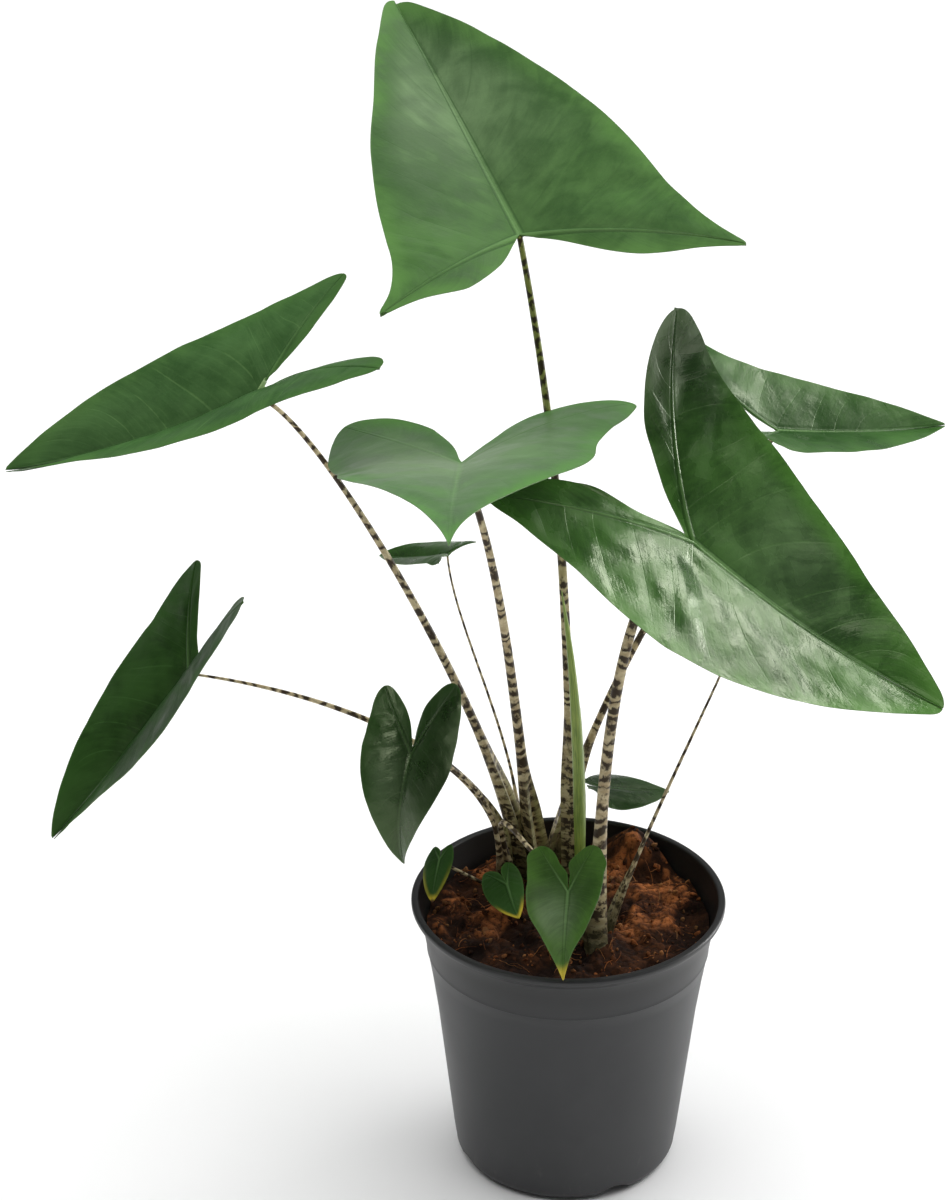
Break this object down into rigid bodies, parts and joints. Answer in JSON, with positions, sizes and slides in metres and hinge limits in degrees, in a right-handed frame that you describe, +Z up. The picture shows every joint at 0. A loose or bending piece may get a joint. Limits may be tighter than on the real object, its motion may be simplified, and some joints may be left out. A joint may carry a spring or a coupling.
{
  "type": "potted alocasia zebrina",
  "caption": "Potted alocasia zebrina with arrow-shaped glossy leaves on upright zebra-banded stems, rooted in coir in a round black nursery pot.",
  "frame": {"origin": "middle of the pot's underside, on the surface that the pot stands on", "axes": "+Z up along the pot's axis; the plant faces -Y; +X is its right-hand side seen from the front"},
  "size_m": [0.6236, 0.5912, 0.7123],
  "materials": {
    "pot_plastic": "charcoal moulded polypropylene with a soft sheen",
    "coir": "loose rust-brown coir and peat, dull",
    "rhizome": "buried fleshy rhizome with dull brown skin",
    "petiole": "smooth cream to olive leaf stem with irregular dark bands",
    "new_leaf": "fresh yellow-green rolled leaf, satin",
    "blade": "dark green glossy leaf with paler veins",
    "blade_light": "mid green satin leaf with paler veins"
  },
  "bodies": {
    "root": {"pot": "pot_plastic", "soil": "coir", "rhizome_left": "rhizome", "rhizome_right": "rhizome", "new_leaf": "new_leaf", "leaf_top": "blade_light", "leaf_upper_left": "blade", "leaf_middle": "blade_light", "leaf_rear_right": "blade", "leaf_big_right": "blade", "leaf_rear_small": "blade", "leaf_right_small": "blade", "leaf_lower_left": "blade", "leaf_dark_heart": "blade", "leaf_hidden": "blade", "leaf_front": "blade_light", "leaf_yellow_edge": "blade", "leaf_rim": "blade", "petiole_top": "petiole", "petiole_upper_left": "petiole", "petiole_middle": "petiole", "petiole_rear_right": "petiole", "petiole_big_right": "petiole", "petiole_rear_small": "petiole", "petiole_right_small": "petiole", "petiole_lower_left": "petiole", "petiole_dark_heart": "petiole", "petiole_hidden": "petiole", "petiole_front": "petiole", "petiole_yellow_edge": "petiole", "petiole_rim": "petiole"}
  },
  "joints": []
}
